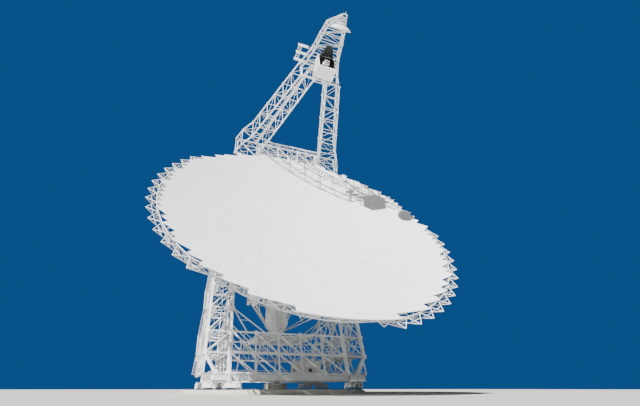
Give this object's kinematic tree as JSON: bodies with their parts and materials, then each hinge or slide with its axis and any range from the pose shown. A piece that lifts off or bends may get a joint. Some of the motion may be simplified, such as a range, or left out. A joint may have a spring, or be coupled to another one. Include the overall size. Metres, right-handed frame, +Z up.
{
  "type": "radio telescope dish, one-tenth scale model",
  "caption": "Fully steerable off-axis radio telescope: tiered dish and feed arm tipping on a lattice alidade that turns on a circular track.",
  "frame": {"origin": "centre of the azimuth track at ground level, on the underside of the pintle pier", "axes": "+Z up, X along the elevation axle, -Y the way the dish looks at azimuth zero"},
  "size_m": [10.7376, 10.8031, 13.2985],
  "materials": {
    "white_steelwork": "satin",
    "reflector_panels": "satin",
    "cladding": "matte",
    "ballast_boxes": "satin",
    "bare_steel": "satin",
    "concrete": "matte"
  },
  "bodies": {
    "foundation": {"foundation_ring": "concrete", "track_rail": "bare_steel", "pintle_pier": "concrete"},
    "alidade": {"truck_front_left": "white_steelwork", "truck_front_right": "white_steelwork", "truck_back_left": "white_steelwork", "truck_back_right": "white_steelwork", "base_girder_front": "white_steelwork", "base_girder_back": "white_steelwork", "base_girder_left": "white_steelwork", "base_girder_right": "white_steelwork", "base_diagonal_main": "white_steelwork", "base_diagonal_left": "white_steelwork", "base_diagonal_right": "white_steelwork", "left_front_leg": "white_steelwork", "left_back_leg": "white_steelwork", "right_front_leg": "white_steelwork", "right_back_leg": "white_steelwork", "left_tower_bracing": "white_steelwork", "right_tower_bracing": "white_steelwork", "left_bearing": "white_steelwork", "right_bearing": "white_steelwork", "front_truss": "white_steelwork", "back_truss": "white_steelwork", "drive_platform": "white_steelwork", "equipment_room": "cladding"},
    "tipping_structure": {"elevation_shaft": "bare_steel", "elevation_wheel": "white_steelwork", "counterweight_left": "ballast_boxes", "counterweight_right": "ballast_boxes", "box_top_frame": "white_steelwork", "box_side_left": "white_steelwork", "box_side_right": "white_steelwork", "backing_lattice_left": "white_steelwork", "backing_lattice_right": "white_steelwork", "reflector_left": "reflector_panels", "reflector_right": "reflector_panels", "arm_root_truss": "white_steelwork", "arm_left_leg": "white_steelwork", "arm_right_leg": "white_steelwork", "arm_head": "white_steelwork", "receiver_room": "cladding", "subreflector": "reflector_panels"},
    "wheel_front_left_1": {"wheel_front_left_1": "bare_steel"},
    "wheel_front_left_2": {"wheel_front_left_2": "bare_steel"},
    "wheel_front_left_3": {"wheel_front_left_3": "bare_steel"},
    "wheel_front_left_4": {"wheel_front_left_4": "bare_steel"},
    "wheel_front_right_1": {"wheel_front_right_1": "bare_steel"},
    "wheel_front_right_2": {"wheel_front_right_2": "bare_steel"},
    "wheel_front_right_3": {"wheel_front_right_3": "bare_steel"},
    "wheel_front_right_4": {"wheel_front_right_4": "bare_steel"},
    "wheel_back_left_1": {"wheel_back_left_1": "bare_steel"},
    "wheel_back_left_2": {"wheel_back_left_2": "bare_steel"},
    "wheel_back_left_3": {"wheel_back_left_3": "bare_steel"},
    "wheel_back_left_4": {"wheel_back_left_4": "bare_steel"},
    "wheel_back_right_1": {"wheel_back_right_1": "bare_steel"},
    "wheel_back_right_2": {"wheel_back_right_2": "bare_steel"},
    "wheel_back_right_3": {"wheel_back_right_3": "bare_steel"},
    "wheel_back_right_4": {"wheel_back_right_4": "bare_steel"}
  },
  "joints": [
    {"name": "azimuth", "type": "hinge", "parent": "foundation", "child": "alidade", "pos_m": [0, 0, 0], "axis": [0, 0, 1], "range_deg": [-270, 270]},
    {"name": "elevation", "type": "hinge", "parent": "alidade", "child": "tipping_structure", "pos_m": [0, 0, 4.83], "axis": [-1, 0, 0], "range_deg": [-9.5, 80.5]},
    {"name": "roll_front_left_1", "type": "hinge", "parent": "alidade", "child": "wheel_front_left_1", "pos_m": [-1.8013, -2.64487, 0.2153], "axis": [-0.5629, -0.8265, 0], "continuous": true},
    {"name": "roll_front_left_2", "type": "hinge", "parent": "alidade", "child": "wheel_front_left_2", "pos_m": [-2.11699, -2.39965, 0.2153], "axis": [-0.6616, -0.7499, 0], "continuous": true},
    {"name": "roll_front_left_3", "type": "hinge", "parent": "alidade", "child": "wheel_front_left_3", "pos_m": [-2.39965, -2.11699, 0.2153], "axis": [-0.7499, -0.6616, 0], "continuous": true},
    {"name": "roll_front_left_4", "type": "hinge", "parent": "alidade", "child": "wheel_front_left_4", "pos_m": [-2.64487, -1.8013, 0.2153], "axis": [-0.8265, -0.5629, 0], "continuous": true},
    {"name": "roll_front_right_1", "type": "hinge", "parent": "alidade", "child": "wheel_front_right_1", "pos_m": [2.64487, -1.8013, 0.2153], "axis": [0.8265, -0.5629, 0], "continuous": true},
    {"name": "roll_front_right_2", "type": "hinge", "parent": "alidade", "child": "wheel_front_right_2", "pos_m": [2.39965, -2.11699, 0.2153], "axis": [0.7499, -0.6616, 0], "continuous": true},
    {"name": "roll_front_right_3", "type": "hinge", "parent": "alidade", "child": "wheel_front_right_3", "pos_m": [2.11699, -2.39965, 0.2153], "axis": [0.6616, -0.7499, 0], "continuous": true},
    {"name": "roll_front_right_4", "type": "hinge", "parent": "alidade", "child": "wheel_front_right_4", "pos_m": [1.8013, -2.64487, 0.2153], "axis": [0.5629, -0.8265, 0], "continuous": true},
    {"name": "roll_back_left_1", "type": "hinge", "parent": "alidade", "child": "wheel_back_left_1", "pos_m": [-2.64487, 1.8013, 0.2153], "axis": [-0.8265, 0.5629, 0], "continuous": true},
    {"name": "roll_back_left_2", "type": "hinge", "parent": "alidade", "child": "wheel_back_left_2", "pos_m": [-2.39965, 2.11699, 0.2153], "axis": [-0.7499, 0.6616, 0], "continuous": true},
    {"name": "roll_back_left_3", "type": "hinge", "parent": "alidade", "child": "wheel_back_left_3", "pos_m": [-2.11699, 2.39965, 0.2153], "axis": [-0.6616, 0.7499, 0], "continuous": true},
    {"name": "roll_back_left_4", "type": "hinge", "parent": "alidade", "child": "wheel_back_left_4", "pos_m": [-1.8013, 2.64487, 0.2153], "axis": [-0.5629, 0.8265, 0], "continuous": true},
    {"name": "roll_back_right_1", "type": "hinge", "parent": "alidade", "child": "wheel_back_right_1", "pos_m": [1.8013, 2.64487, 0.2153], "axis": [0.5629, 0.8265, 0], "continuous": true},
    {"name": "roll_back_right_2", "type": "hinge", "parent": "alidade", "child": "wheel_back_right_2", "pos_m": [2.11699, 2.39965, 0.2153], "axis": [0.6616, 0.7499, 0], "continuous": true},
    {"name": "roll_back_right_3", "type": "hinge", "parent": "alidade", "child": "wheel_back_right_3", "pos_m": [2.39965, 2.11699, 0.2153], "axis": [0.7499, 0.6616, 0], "continuous": true},
    {"name": "roll_back_right_4", "type": "hinge", "parent": "alidade", "child": "wheel_back_right_4", "pos_m": [2.64487, 1.8013, 0.2153], "axis": [0.8265, 0.5629, 0], "continuous": true}
  ],
  "couplings": [
    {"joint": "roll_front_left_1", "follows": "azimuth", "ratio": -42.667},
    {"joint": "roll_front_left_2", "follows": "azimuth", "ratio": -42.667},
    {"joint": "roll_front_left_3", "follows": "azimuth", "ratio": -42.667},
    {"joint": "roll_front_left_4", "follows": "azimuth", "ratio": -42.667},
    {"joint": "roll_front_right_1", "follows": "azimuth", "ratio": -42.667},
    {"joint": "roll_front_right_2", "follows": "azimuth", "ratio": -42.667},
    {"joint": "roll_front_right_3", "follows": "azimuth", "ratio": -42.667},
    {"joint": "roll_front_right_4", "follows": "azimuth", "ratio": -42.667},
    {"joint": "roll_back_left_1", "follows": "azimuth", "ratio": -42.667},
    {"joint": "roll_back_left_2", "follows": "azimuth", "ratio": -42.667},
    {"joint": "roll_back_left_3", "follows": "azimuth", "ratio": -42.667},
    {"joint": "roll_back_left_4", "follows": "azimuth", "ratio": -42.667},
    {"joint": "roll_back_right_1", "follows": "azimuth", "ratio": -42.667},
    {"joint": "roll_back_right_2", "follows": "azimuth", "ratio": -42.667},
    {"joint": "roll_back_right_3", "follows": "azimuth", "ratio": -42.667},
    {"joint": "roll_back_right_4", "follows": "azimuth", "ratio": -42.667}
  ]
}
